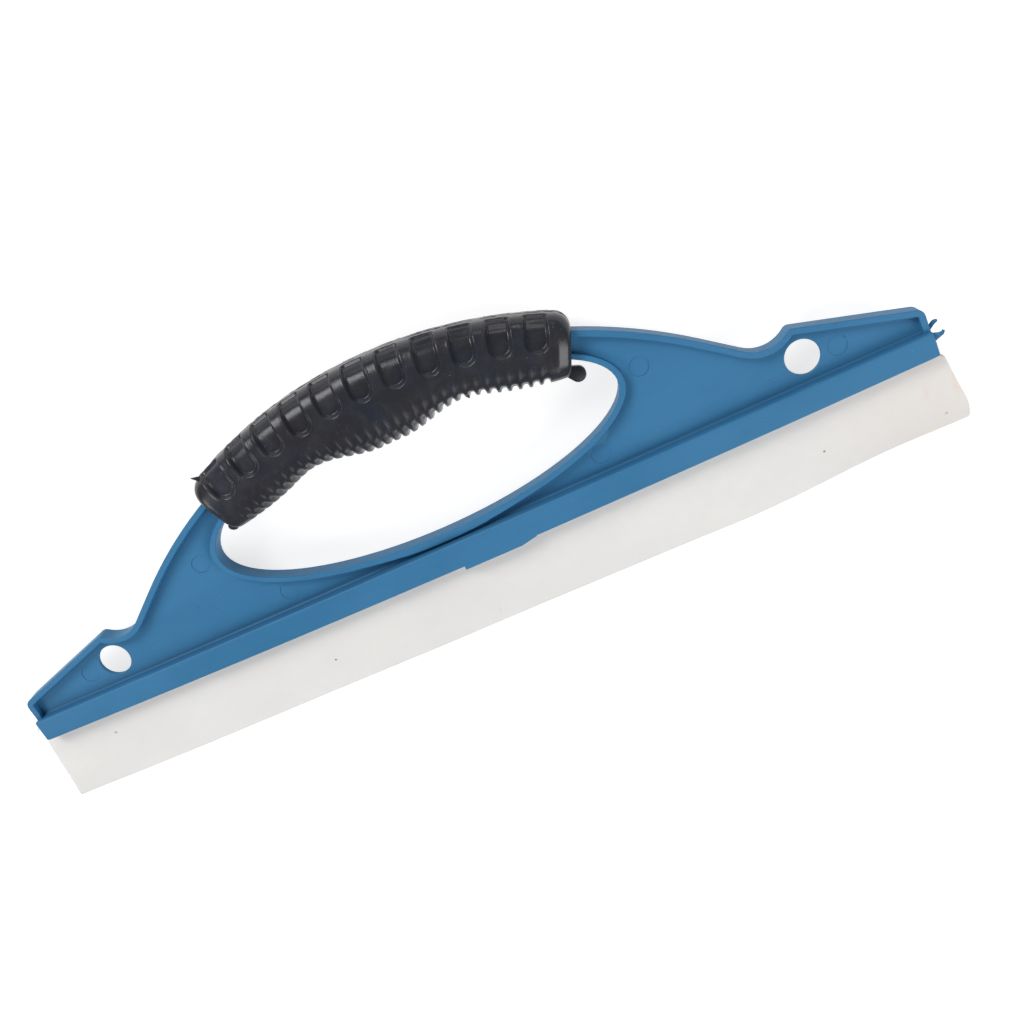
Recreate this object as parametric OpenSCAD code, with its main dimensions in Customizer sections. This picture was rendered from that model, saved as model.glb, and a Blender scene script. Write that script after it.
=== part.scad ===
// Window squeegee with an arched, soft-covered handle and a slide-in silicone blade.
// Lying flat: X along the blade, Y from the blade up to the handle, Z through the thickness.
// The frame is symmetric about X = 0 and Z = 0. The origin is the middle of the bounding box.
// Three separate pieces: frame (rigid moulding), grip (soft moulding), blade (silicone strip).

/* [Frame plan] */
// Length of the frame along the blade
frame_length = 309.6; // [280:0.2:340]
// Height of the straight wing top above the jaw's lower edge, at the frame's end
wing_end_height = 14.7; // [13:0.1:17]
// Height that the same straight top would reach over the middle of the thumb notch
wing_crest_height = 28; // [26:0.1:30]
// Rounding of the wing's outer top corner
wing_corner_radius = 2.6; // [2.2:0.1:4]
// Rounding of the wing's peak beside the thumb notch
wing_peak_radius = 2.1; // [1.6:0.1:2.8]
// Height of the notch's lowest point above the jaw's lower edge
notch_height = 22.75; // [21:0.05:24]
// Radius of the thumb notch
notch_radius = 10.5; // [9.5:0.1:12]
// Length of the straight flank between the arch and the thumb notch
flank_length = 12.8; // [10:0.1:16]
// Radius of the handle arch's outer edge
arch_radius = 155; // [148:0.5:165]
// Height of the arch's outer edge above the jaw's lower edge, in the middle
arch_height = 64.65; // [62:0.05:68]

/* [Hand opening] */
// Length of the elliptical hand opening
opening_length = 136; // [126:0.5:140]
// Height of the full ellipse of the hand opening
opening_height = 44; // [40:0.5:46]
// Height of the opening's lowest point above the jaw's lower edge
opening_floor = 10.7; // [10.2:0.1:13]

/* [Moulded section] */
// Thickness of the thin web
web_thickness = 1.4; // [1.2:0.1:2.4]
// Width of the rims round the outline and the opening
rim_width = 2; // [1.4:0.1:2.4]
// Full depth of the rims, front to back
rim_depth = 6.2; // [5:0.1:8]
// Radius of the hang hole in each wing
hang_hole_radius = 5.3; // [4:0.1:5.5]
// How far each hang hole lies beyond the middle of its thumb notch
hang_hole_beyond_notch = 8.7; // [8:0.1:10]
// Height of each hang hole above the jaw's lower edge
hang_hole_height = 15.5; // [14.4:0.1:16]
// Radius of the round ejector marks in the web
mark_radius = 3; // [2:0.1:3.4]
// Depth of the ejector marks
mark_depth = 0.2; // [0.1:0.05:0.3]

/* [Jaw] */
// Height of the jaw that holds the blade
jaw_height = 7.7; // [7.4:0.1:8.4]
// Depth of the jaw, front to back
jaw_depth = 10; // [9:0.1:14]
// Rounding of the jaw's long edges
jaw_edge_radius = 0.7; // [0.4:0.1:1]
// Rounding of the jaw's lower corners, seen from the front
jaw_corner_radius = 1.2; // [0.6:0.1:2]
// Fillet between the jaw and the web
jaw_fillet = 0.8; // [0.4:0.1:1]
// Thickness of the two lips under the blade's head
lip_thickness = 2.1; // [1.6:0.1:2.4]
// Length of the tab under the front lip, with its tapered end
lip_tab_length = 24.8; // [16:0.1:36]
// How far the tab stands below the lip
lip_tab_drop = 1.05; // [0.6:0.05:1.6]

/* [Blade] */
// Length of the blade just below the jaw
blade_length = 314.6; // [280:0.2:344]
// How much longer the wiping edge is at each end
blade_flare = 2.9; // [0:0.1:4]
// How far the blade stands out below the jaw
blade_reach = 25.7; // [18:0.1:34]
// Thickness of the blade in the jaw
blade_thickness = 2.2; // [1.8:0.1:3]
// Thickness of the wiping edge
blade_edge_thickness = 1.4; // [0.8:0.1:1.8]
// Depth of the blade's head, front to back
head_depth = 5.2; // [4.6:0.1:6]
// Height of the blade's head
head_height = 2.4; // [2:0.1:2.8]
// Clearance between the blade and its slot on every side
slot_clearance = 0.15; // [0.1:0.05:0.3]

/* [Grip] */
// Half of the angle that the grip covers on the arch, in degrees
grip_half_angle = 23.45; // [22:0.05:23.6]
// Thickness of soft cover above the arch, in the middle
grip_cover_top = 6.25; // [5:0.05:8]
// Thickness of soft cover below the arch, in the middle
grip_cover_palm = 11.2; // [7:0.05:12]
// How much the two finger hollows on each side of the middle swell rise into the grip
finger_hollow = 5.6; // [2:0.1:6]
// Thickness of the grip in the middle, front to back
grip_thickness = 20; // [17:0.1:26]
// Thickness of the grip at its ends, front to back
grip_end_thickness = 17.4; // [15:0.1:22]
// Rounding between the grip's faces and its ends
grip_side_radius = 2.6; // [1.5:0.1:3]
// Rounding of the grip's heels, seen from the front
grip_heel_radius = 1.5; // [1:0.1:2.5]
// Number of thumb pockets along each face
pocket_count = 11; // [7:2:11]
// Angle between neighbouring pockets, in degrees
pocket_pitch = 3.95; // [3.8:0.05:4.3]
// Width of one pocket
pocket_width = 6.5; // [5:0.1:8]
// Depth of the pockets
pocket_depth = 1.6; // [0.8:0.1:2]
// How far the pockets reach below the outer edge of the arch
pocket_reach = 4.7; // [3:0.1:6]
// Half width of the plain ridge left between the front and back pockets
ridge_half_width = 3; // [2:0.1:4]
// Number of fine ribs under the fingers
rib_count = 32; // [20:2:32]
// Angle between neighbouring ribs, in degrees
rib_pitch = 1.285; // [1.1:0.005:1.3]
// Depth of the grooves between the ribs at the bottom
rib_depth = 1.3; // [0.6:0.05:1.5]
// Radius of the moulding tab under the grip's right end, and its thickness
gate_tab_radius = 2.4; // [1.5:0.1:3]

/* [Hidden] */
eps = 0.01;
arch_steps = 24;            // straight pieces on each half of the arch
bend_steps = 5;             // straight pieces round a wing corner
notch_steps = 10;
edge_steps = 4;             // straight pieces round a jaw edge
ellipse_steps = 96;         // straight pieces round the hand opening
hole_sides = 96;
mark_sides = 48;
end_x = frame_length / 2;
arch_y = arch_height - arch_radius;                 // centre of the arch
// The flank is the common tangent of the arch and the notch, so it places the notch
notch_y = notch_height + notch_radius;
notch_span = norm([arch_radius + notch_radius, flank_length]);
notch_c = [sqrt(pow(notch_span, 2) - pow(notch_y - arch_y, 2)), notch_y];
flank_tilt = atan2(notch_c.x, notch_y - arch_y) - atan2(flank_length, arch_radius + notch_radius);
// Straight top of the wing: points p with wing_n * p = wing_c
wing_slope = atan2(wing_crest_height - wing_end_height, end_x - notch_c.x);
wing_n = [sin(wing_slope), cos(wing_slope)];
wing_c = wing_n * [end_x, wing_end_height];
hang_hole_x = notch_c.x + hang_hole_beyond_notch;
opening_a = opening_length / 2;
opening_b = opening_height / 2;
opening_y = opening_floor + opening_b;
// Ejector marks on the right half: beyond the hang hole, under the opening, beside its end
marks = [
    [hang_hole_x + 10.3, hang_hole_height - 1.05],
    [0.8 * opening_a, opening_floor + 2.4],
    [opening_a + 7.3, opening_y + 0.5]];
root_sink = 1.1;                                    // web and rims start this far inside the jaw
web_root = jaw_height - root_sink;
slot_half = head_depth / 2 + slot_clearance;
slot_roof = lip_thickness + head_height + 2 * slot_clearance;
neck_half = blade_thickness / 2 + slot_clearance;
// Tab under the front lip: its start, then where the taper starts and bends, as shares
lip_tab_start = 1.5;
tab_taper_at = 0.78;
tab_bend_at = 0.9;
tab_bend_drop = 0.45;
// Blade section
edge_chamfer = [0.2, 0.3];
blade_taper_start = 1.5;                            // below the jaw, where the blade starts to thin
head_chamfer_low = 0.3;
head_chamfer_top = 0.5;
// Solid stretch of the arch inside the grip, ending just short of the grip's ends
core_half_angle = grip_half_angle - 0.8;
// Grip, in polar terms about the centre of the arch
grip_top_rho = arch_radius + grip_cover_top;
grip_palm_rho = opening_y + opening_b - arch_y - grip_cover_palm;
grip_crown_drop = 1.1;      // the top comes this much nearer the arch at the ends
swell_angle = 1.5;          // where the middle swell starts to rise
hollow_angle = 11.2;        // where it ends, at the top of a finger hollow
heel_angle = 16;            // where the heels start to taper up
heel_drop = 0.85;           // how much lower than the hollows the heels start
grip_heel_rise = 2.65;      // how much they rise by the grip's ends
crown_land = 0.1;           // what is left above the arch at the very ends
grip_crown_radius = grip_cover_top - grip_crown_drop - crown_land;
// The section is widest at the waist: a superellipse of this power above it gives the flat
// faces and round shoulders, and a plain half ellipse below it the round underside
waist_rho = arch_radius - 8;
shoulder_power = 3;
pocket_floor_rho = arch_radius - pocket_reach;
// Ribs: half width of a groove as a share of the pitch, and its depth half way to its edge
groove_half = 0.32;
groove_shoulder = 0.866;
// Height in the section, from -1 at the bottom to 1 at the top, where the grooves fade out,
// where they bend, and the share of their depth there
fade_top = -0.15;
fade_bend = -0.5;
fade_share = 0.35;
// Insets of the three lofts of the grip: see inset()
skin_sink = 1.8;
rib_sink = 0.02;
body_sink = 1.2;
// Moulding tab: steps from the right heel to the tab's middle and to the root of its neck.
// The left tab is torn off and leaves a short stub.
tab_step = [2.1, -0.55];
neck_step = [-1, 1.85];
stub_step = [2.4, 1.65];
neck_radius = 1.3;
stub_radius = 1.1;
top_y = arch_y + grip_top_rho;
mid_y = (top_y - blade_reach) / 2;

function arc(c, r, a0, a1, n) =
    [for (i = [0:n]) let (a = a0 + (a1 - a0) * i / n) c + r * [cos(a), sin(a)]];

// Right half of the outline moved inwards by d, from the jaw up to the middle of the arch
function half_outline(d) = let (
    rc = max(wing_corner_radius - d, 0.4),
    cx = end_x - d - rc,
    corner = [cx, (wing_c - d - rc - wing_n.x * cx) / wing_n.y],
    rp = max(wing_peak_radius - d, 0.3),
    rn = notch_radius + d,
    lean = acos((wing_c - d - rp - wing_n * notch_c) / (rn + rp)),
    side = 90 - wing_slope - lean,
    peak = notch_c + (rn + rp) * [cos(side), sin(side)]
) concat(
    [[end_x - d, d > 0 ? 0 : web_root]],
    arc(corner, rc, 0, 90 - wing_slope, bend_steps),
    arc(peak, rp, 90 - wing_slope, side + 180, bend_steps),
    arc(notch_c, rn, side, -90 - flank_tilt, notch_steps),
    arc([0, arch_y], arch_radius - d, 90 - flank_tilt, 90, arch_steps));

// The same points on the left, in the order that closes the shape
function mirrored(half, skip = 0) =
    [for (i = [len(half) - 1 - skip:-1:0]) [-half[i].x, half[i].y]];

module outline(d) {
    half = half_outline(d);
    polygon(concat(half, mirrored(half, 1)));
}

module opening(grow) {
    translate([0, opening_y])
        polygon([for (i = [0:ellipse_steps - 1]) let (a = 360 * i / ellipse_steps)
            [(opening_a + grow) * cos(a), (opening_b + grow) * sin(a)]]);
}

// Stretch of the arch that the grip is moulded round
module arch_core() {
    low = opening_y - arch_y;
    high = 2 * arch_radius;
    lean = tan(core_half_angle);
    linear_extrude(rim_depth, center = true)
        difference() {
            intersection() {
                outline(0);
                translate([0, arch_y])
                    polygon([[low * lean, low], [high * lean, high],
                        [-high * lean, high], [-low * lean, low]]);
            }
            opening(0);
        }
}

// Jaw section, Y up and X across the depth: rounded box with a fillet up to the web
module jaw_section() {
    w = jaw_depth / 2;
    r = jaw_edge_radius;
    f = jaw_fillet;
    half = concat(
        arc([w - r, r], r, -90, 0, edge_steps),
        arc([w - r, jaw_height - r], r, 0, 90, edge_steps),
        arc([web_thickness / 2 + f, jaw_height + f], f, -90, -180, edge_steps));
    difference() {
        polygon(concat(half, mirrored(half)));
        translate([-neck_half, -1]) square([2 * neck_half, lip_thickness + 1 + eps]);
        translate([-slot_half, lip_thickness])
            square([2 * slot_half, slot_roof - lip_thickness]);
    }
}

// Jaw seen from the front, with its two rounded lower corners
module jaw_front() {
    r = jaw_corner_radius;
    half = concat([[end_x, jaw_height + jaw_fillet]], arc([end_x - r, r], r, 0, -90, bend_steps));
    polygon(concat(half, mirrored(half)));
}

module jaw() {
    intersection() {
        rotate([0, 90, 0])
            linear_extrude(frame_length, center = true) jaw_section();
        linear_extrude(2 * jaw_depth, center = true) jaw_front();
    }
    // tab under the front lip, right of the middle
    sunk = lip_thickness / 2;
    translate([lip_tab_start, 0, slot_half])
        linear_extrude(jaw_depth / 2 - slot_half)
            polygon([[0, sunk], [0, -lip_tab_drop], [lip_tab_length * tab_taper_at, -lip_tab_drop],
                [lip_tab_length * tab_bend_at, -lip_tab_drop * tab_bend_drop],
                [lip_tab_length, 0], [lip_tab_length, sunk]]);
}

module frame() {
    color([0.30, 0.51, 0.66])
    translate([0, -mid_y, 0])
    difference() {
        union() {
            linear_extrude(web_thickness, center = true)
                difference() { outline(0); opening(0); }
            linear_extrude(rim_depth, center = true) difference() {
                union() {
                    difference() { outline(0); outline(rim_width); }
                    intersection() { outline(0); opening(rim_width); }
                }
                opening(0);
            }
            arch_core();
            jaw();
        }
        for (s = [-1, 1]) {
            translate([s * hang_hole_x, hang_hole_height, 0])
                cylinder(h = jaw_depth, r = hang_hole_radius, center = true, $fn = hole_sides);
            for (m = marks)
                translate([s * m.x, m.y, web_thickness / 2 - mark_depth])
                    cylinder(h = web_thickness, r = mark_radius, $fn = mark_sides);
        }
    }
}

// Smooth step from 0 at a0 to 1 at a1
function ease(a, a0, a1) = (1 - cos(180 * min(max((a - a0) / (a1 - a0), 0), 1))) / 2;

// Lower edge of the grip about the arch centre: middle swell, two finger hollows, heels
function palm_rho(phi) = let (a = abs(phi)) grip_palm_rho
    + finger_hollow * ease(a, swell_angle, hollow_angle)
    - heel_drop * ease(a, hollow_angle, heel_angle)
    + grip_heel_rise * pow(max(a - heel_angle, 0) / (grip_half_angle - heel_angle), 2);
function crown_rho(phi) = grip_top_rho - grip_crown_drop * pow(phi / grip_half_angle, 2);
function half_thick(phi) = (grip_thickness
    - (grip_thickness - grip_end_thickness) * pow(phi / grip_half_angle, 2)) / 2;

// How far an end rounding of radius r pulls the surface in at phi
function end_pull(phi, r) = let (
    s = (abs(phi) - grip_half_angle) * PI / 180 * arch_radius + r
) s <= 0 ? 0 : r - sqrt(max(r * r - s * s, 0));

// Share of the full groove depth at phi: 1 in a groove, 0 on a rib, 0 on the plain heels
function groove(phi) = let (
    a = abs(phi) / rib_pitch,
    u = abs(a - floor(a + 0.5)) / groove_half
) a > rib_count / 2 + groove_half ? 0 : sqrt(max(1 - u * u, 0));

// Groove depth round the section: full underneath, fading out part of the way up the sides
function groove_depth(s) = s > fade_top ? 0
    : s > fade_bend ? fade_share * rib_depth * (fade_top - s) / (fade_top - fade_bend)
    : rib_depth * (1 - (1 - fade_share) * (s + 1) / (fade_bend + 1));

// The grip is three lofts through the same section: the smooth skin, the ribbed underside, and
// the sunk body that shows as the floors of the pockets. Each is inset by its own rule at s,
// which runs from -1 at the bottom of the section to 1 at the top.
function inset(loft, phi, s) =
    loft == "skin" ? skin_sink * groove_depth(s) :
    loft == "ribs" ? max(groove(phi) * groove_depth(s), rib_sink) :
    pocket_depth + body_sink * max(min((-0.1 - s) / 0.3, 1), 0);

function grip_point(loft, phi, t) = let (
    power = sin(t) > 0 ? 2 / shoulder_power : 1,
    up = sign(sin(t)) * pow(abs(sin(t)), power),
    out = sign(cos(t)) * pow(abs(cos(t)), power),
    in = inset(loft, phi, up),
    rise = up > 0 ? crown_rho(phi) - end_pull(phi, grip_crown_radius) - waist_rho
        : waist_rho - palm_rho(phi) - end_pull(phi, grip_heel_radius),
    rho = waist_rho + (rise - in) * up
) [rho * sin(phi), arch_y + rho * cos(phi),
    (half_thick(phi) - end_pull(phi, grip_side_radius) - in) * out];

// Places of the sections along the grip and of the points round them, in degrees
end_zone = grip_crown_radius / arch_radius * 180 / PI;
end_slices = [for (i = [0:4]) grip_half_angle - end_zone * (1 - sin(22.5 * i))];
skin_steps = 18;
body_steps = 14;
ring_steps = 26;
rib_ring_steps = 10;
rib_ring_start = 187;       // just above the widest place of the section, on the far side
function both_ways(half) = concat([for (i = [len(half) - 1:-1:0]) -half[i]], [0], half);
skin_slices = both_ways(concat(
    [for (i = [1:skin_steps]) (grip_half_angle - end_zone) * i / (skin_steps + 1)], end_slices));
rib_slices = both_ways(concat(
    [for (k = [0:rib_count / 2 - 1]) each [k + groove_half / 2, k + groove_half,
        k + 1 - groove_half, k + 1 - groove_half / 2, k + 1] * rib_pitch],
    [(rib_count / 2 + groove_half) * rib_pitch], end_slices));
body_slices = both_ways(
    [for (i = [1:body_steps]) (grip_half_angle - end_zone / 6) * i / body_steps]);
all_round = [for (j = [0:ring_steps - 1]) 360 * j / ring_steps];
under_side = [for (j = [0:rib_ring_steps]) rib_ring_start
    + (540 - 2 * rib_ring_start) * j / rib_ring_steps];

module grip_loft(loft, slices, ring) {
    n = len(slices);
    k = len(ring);
    polyhedron(
        points = [for (phi = slices) for (t = ring) grip_point(loft, phi, t)],
        faces = concat(
            [[for (j = [k - 1:-1:0]) j]],
            [[for (j = [0:k - 1]) (n - 1) * k + j]],
            [for (i = [0:n - 2]) for (j = [0:k - 1]) let (m = (j + 1) % k)
                each [[i * k + j, (i + 1) * k + m, (i + 1) * k + j],
                    [i * k + j, i * k + m, (i + 1) * k + m]]]));
}

// Pocket outline seen from the front: round lower end, square upper end
module pocket_cut() {
    r = pocket_width / 2;
    linear_extrude(grip_thickness)
        hull() {
            translate([0, pocket_floor_rho + r]) circle(r = r, $fn = 20);
            translate([-r, grip_top_rho]) square([2 * r, pocket_depth]);
        }
}

// Moulding tab under the right heel, with its neck
module tab(step, radius) {
    rho = palm_rho(grip_half_angle);
    heel = [rho * sin(grip_half_angle), rho * cos(grip_half_angle) + arch_y];
    linear_extrude(gate_tab_radius, center = true)
        hull() {
            translate(heel + step) circle(r = radius, $fn = 32);
            translate(heel + neck_step) circle(r = neck_radius, $fn = 20);
        }
}

module grip() {
    pockets = (pocket_count - 1) / 2;
    color([0.20, 0.21, 0.24])
    translate([0, -mid_y, 0])
    difference() {
        union() {
            grip_loft("body", body_slices, all_round);
            grip_loft("ribs", rib_slices, under_side);
            difference() {
                grip_loft("skin", skin_slices, all_round);
                for (i = [-pockets:pockets]) for (side = [0, 1])
                    translate([0, arch_y, 0]) rotate([0, 180 * side, -i * pocket_pitch])
                        translate([0, 0, ridge_half_width]) pocket_cut();
            }
            tab(tab_step, gate_tab_radius);
            mirror([1, 0, 0]) tab(stub_step, stub_radius);
        }
        // the arch of the frame, which the grip is moulded round
        linear_extrude(rim_depth, center = true)
            difference() { outline(0); opening(0); }
    }
}

// Blade section, Y up and X across the depth: head in the slot, neck, thinning to the edge
module blade_section() {
    n = blade_thickness / 2;
    e = blade_edge_thickness / 2;
    h = head_depth / 2;
    y0 = lip_thickness + slot_clearance;
    y1 = y0 + head_height;
    half = [[e - edge_chamfer.x, -blade_reach], [e, -blade_reach + edge_chamfer.y],
        [n, -blade_taper_start], [n, y0], [h - head_chamfer_low, y0], [h, y0 + head_chamfer_low],
        [h, y1 - head_chamfer_top], [h - head_chamfer_top, y1]];
    polygon(concat(half, mirrored(half)));
}

module blade() {
    half = blade_length / 2;
    head_half = min(end_x, half);           // the head is cut flush with the jaw's ends
    color([0.90, 0.895, 0.885])
    translate([0, -mid_y, 0])
    intersection() {
        rotate([0, 90, 0])
            linear_extrude(blade_length + 3 * blade_flare, center = true) blade_section();
        linear_extrude(3 * jaw_depth, center = true)
            polygon([[-half - blade_flare, -blade_reach - eps],
                [half + blade_flare, -blade_reach - eps],
                [half, -blade_taper_start], [head_half, 0], [head_half, jaw_height],
                [-head_half, jaw_height], [-head_half, 0], [-half, -blade_taper_start]]);
    }
}

frame();
grip();
blade();
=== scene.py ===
"""Looks of the window squeegee: a blue moulded frame, a soft dark grip and a milky silicone blade.

The shape code counts in millimetres, and a mesh is turned into metres when it is made. "Plan
height" is the height above the jaw's lower edge, as in the part. The shared frame's Y is plan
height plus JAW_Y. The object lies in the XY plane, with its front towards +Z.
"""
import math

import bmesh
import bpy
import numpy as np
from mathutils import Matrix, Vector


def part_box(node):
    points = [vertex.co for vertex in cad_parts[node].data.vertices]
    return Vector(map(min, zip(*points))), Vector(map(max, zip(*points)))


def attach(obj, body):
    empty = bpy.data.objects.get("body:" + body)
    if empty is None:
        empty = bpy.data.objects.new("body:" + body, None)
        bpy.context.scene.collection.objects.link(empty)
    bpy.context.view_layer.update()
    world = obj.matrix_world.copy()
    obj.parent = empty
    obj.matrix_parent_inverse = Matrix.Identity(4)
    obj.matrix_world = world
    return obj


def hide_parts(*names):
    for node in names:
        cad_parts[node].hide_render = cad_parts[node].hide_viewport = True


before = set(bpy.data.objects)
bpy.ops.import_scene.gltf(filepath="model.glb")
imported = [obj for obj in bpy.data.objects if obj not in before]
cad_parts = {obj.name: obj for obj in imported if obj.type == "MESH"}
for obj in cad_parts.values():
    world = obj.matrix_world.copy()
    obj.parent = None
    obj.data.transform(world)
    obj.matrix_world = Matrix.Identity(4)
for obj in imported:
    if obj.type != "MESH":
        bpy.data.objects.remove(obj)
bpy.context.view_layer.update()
MM = 0.001

# ---------------------------------------------------------------- sizes repeated from the part
BLADE_REACH = 25.7
JAW_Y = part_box("blade")[0].y / MM + BLADE_REACH
FRAME_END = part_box("frame")[1].x / MM
ARCH_RADIUS, ARCH_HEIGHT = 155.0, 64.65
ARCH_Y = ARCH_HEIGHT - ARCH_RADIUS
OPENING = (68.0, 22.0, 32.7)          # half length, half height, plan height of the middle
RIM_WIDTH, RIM_HALF_DEPTH, WEB_HALF = 2.0, 3.1, 0.7
GRIP_HALF_ANGLE = 23.45
GRIP_TOP_RHO = ARCH_RADIUS + 6.25
GRIP_PALM_RHO = OPENING[2] + OPENING[1] - ARCH_Y - 11.2
CROWN_DROP, HEEL_RISE, HEEL_ANGLE, HEEL_DROP = 1.1, 2.65, 16.0, 0.85
FINGER_HOLLOW, SWELL_ANGLE, HOLLOW_ANGLE = 5.6, 1.5, 11.2
CROWN_RADIUS, SIDE_RADIUS, HEEL_RADIUS = 5.05, 2.6, 1.5
HALF_THICK, HALF_THICK_END = 10.0, 8.7
POCKETS, POCKET_PITCH, POCKET_RADIUS, POCKET_DEPTH = 11, 3.95, 3.25, 1.55
POCKET_FLOOR_RHO = ARCH_RADIUS - 4.7
RIDGE_HALF = 3.0
RIBS, RIB_PITCH, RIB_DEPTH = 32, 1.285, 1.3
CORE_HALF_ANGLE = GRIP_HALF_ANGLE - 0.8
TAB_HALF_DEPTH = 1.2
HOLE = (119.5, 15.5)
MARKS = [(HOLE[0] + 10.3, HOLE[1] - 1.05), (0.8 * OPENING[0], 13.1),
         (OPENING[0] + 7.3, OPENING[2] + 0.5)]

# ---------------------------------------------------------------- sizes of the visual model only
WAIST_RHO, SHOULDER_POWER, UNDER_POWER = ARCH_RADIUS - 8, 3, 2.5
TILT_LEFT, TILT_RIGHT = -0.021, -0.009   # the grip's top is a little higher on the left
LEAN_RHO, LEAN_ANGLE = 150, 18           # beyond these the grip's left end leans back
CHAMFER_RUN, CHAMFER_EASE, CHAMFER_BLEND = 4.6, 0.8, 0.5
CHAMFER_SLOPE, CHAMFER_EDGE = 0.52, 1.3
FLASH_HEIGHT, FLASH_HALF = 0.2, 0.16
TUNNEL_GAP = 0.02


# ---------------------------------------------------------------- mesh helpers
def to_frame(points):
    """Plan points in millimetres to the shared frame in metres."""
    p = np.asarray(points, float).reshape(-1, 3)
    return (p + [0, JAW_Y, 0]) * MM


def add_object(name, mesh, sharp=None):
    """Smooth object of a mesh; edges that turn by more than the angle sharp stay sharp."""
    mesh.polygons.foreach_set("use_smooth", [True] * len(mesh.polygons))
    if sharp is not None:
        mesh.set_sharp_from_angle(angle=sharp)
    mesh.update()
    obj = bpy.data.objects.new(name, mesh)
    bpy.context.scene.collection.objects.link(obj)
    return obj


def make_object(name, points, faces, sharp=None):
    """Object of plan points and faces, with its faces turned outwards."""
    mesh = bpy.data.meshes.new(name)
    mesh.from_pydata(to_frame(points).tolist(), [], [list(map(int, f)) for f in faces])
    mesh.validate()
    solid = bmesh.new()
    solid.from_mesh(mesh)
    if solid.calc_volume(signed=True) < 0:
        bmesh.ops.reverse_faces(solid, faces=solid.faces)
        solid.to_mesh(mesh)
    solid.free()
    return add_object(name, mesh, sharp)


def ring_faces(rings, n, closed=False):
    """Quads between consecutive rings of n points each."""
    i = np.arange(rings if closed else rings - 1)[:, None]
    j = np.arange(n)[None, :]
    k, m = (i + 1) % rings, (j + 1) % n
    quads = np.stack([i * n + j, i * n + m, k * n + m, k * n + j], -1)
    return quads.reshape(-1, 4)


def smoothstep(x):
    x = np.clip(x, 0, 1)
    return x * x * (3 - 2 * x)


def wander(x, seed, period):
    """Smooth wandering value between about -1 and 1 along x."""
    rng = np.random.default_rng(seed)
    table = rng.uniform(-1, 1, 257)
    u = np.asarray(x, float) / period + 128
    i = np.clip(np.floor(u).astype(int), 0, 255)
    f = smoothstep(u - i)
    return table[i] * (1 - f) + table[i + 1] * f


# ---------------------------------------------------------------- grip
def grip_section(phi):
    """Top and bottom distance from the arch's centre and half thickness, at angles phi."""
    a = np.abs(phi)
    share = (phi / GRIP_HALF_ANGLE) ** 2

    def pull(r):
        """What a rounding of radius r takes off towards both ends."""
        s = np.clip((np.radians(a - GRIP_HALF_ANGLE) * ARCH_RADIUS + r) / r, 0, 1)
        return r - r * np.sqrt(np.maximum(1 - s * s, 0))

    def ease(a0, a1):
        return (1 - np.cos(np.pi * np.clip((a - a0) / (a1 - a0), 0, 1))) / 2

    top = GRIP_TOP_RHO - CROWN_DROP * share - pull(CROWN_RADIUS)
    top += np.where(phi < 0, TILT_LEFT * phi, TILT_RIGHT * phi * (1 - share**4))
    heel = np.maximum(a - HEEL_ANGLE, 0) / (GRIP_HALF_ANGLE - HEEL_ANGLE)
    low = GRIP_PALM_RHO + FINGER_HOLLOW * ease(SWELL_ANGLE, HOLLOW_ANGLE)
    low += HEEL_RISE * heel**2 - HEEL_DROP * ease(HOLLOW_ANGLE, HEEL_ANGLE) + pull(HEEL_RADIUS)
    # the left end is rounded off, the right end has a chamfer about 4 mm wide
    run = np.maximum(np.radians(phi - GRIP_HALF_ANGLE) * ARCH_RADIUS + CHAMFER_RUN, 0)
    run -= CHAMFER_EASE
    chamfer = CHAMFER_SLOPE * (np.hypot(run, CHAMFER_BLEND) + run) / 2
    chamfer += 0.6 * pull(CHAMFER_EDGE) - chamfer[0]
    half = HALF_THICK - (HALF_THICK - HALF_THICK_END) * share
    half -= np.where(phi > 0, chamfer, pull(SIDE_RADIUS))
    return top, low, half


def pocket_depth(phi, rho, z):
    """How deep the pockets are at points of the plain surface."""
    k = np.clip(np.round(phi / POCKET_PITCH), -(POCKETS // 2), POCKETS // 2)
    turn = np.radians(phi - k * POCKET_PITCH)
    across = rho * np.sin(turn)
    up = rho * np.cos(turn) - POCKET_FLOOR_RHO - POCKET_RADIUS
    outside = np.hypot(across, np.minimum(up, 0)) - POCKET_RADIUS
    above = RIDGE_HALF - np.abs(z)
    # rounded corner where the side walls meet the upper wall
    corner = 0.8
    far = np.maximum(outside + corner, 0), np.maximum(above + corner, 0)
    edge = np.minimum(np.maximum(outside, above) + corner, 0) + np.hypot(*far) - corner
    # the wall slopes more gently round the lower end
    wall = 0.42 + 0.2 * smoothstep(-up / POCKET_RADIUS)
    depth = POCKET_DEPTH * smoothstep((wall - edge) / (2 * wall))
    # the floor rises towards the ridge
    shallow = 0.42 + 0.25 * smoothstep((phi - 5) / 6)
    depth = depth * (1 - shallow * (1 - smoothstep((np.abs(z) - RIDGE_HALF) / 3.5)))
    # thin lip pressed up round the rim
    lip = 0.1 * np.exp(-(((edge - wall - 0.18) / 0.17) ** 2))
    return depth - lip * (1 + 0.5 * wander(phi * 3 + z, 11, 1.3))


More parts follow.
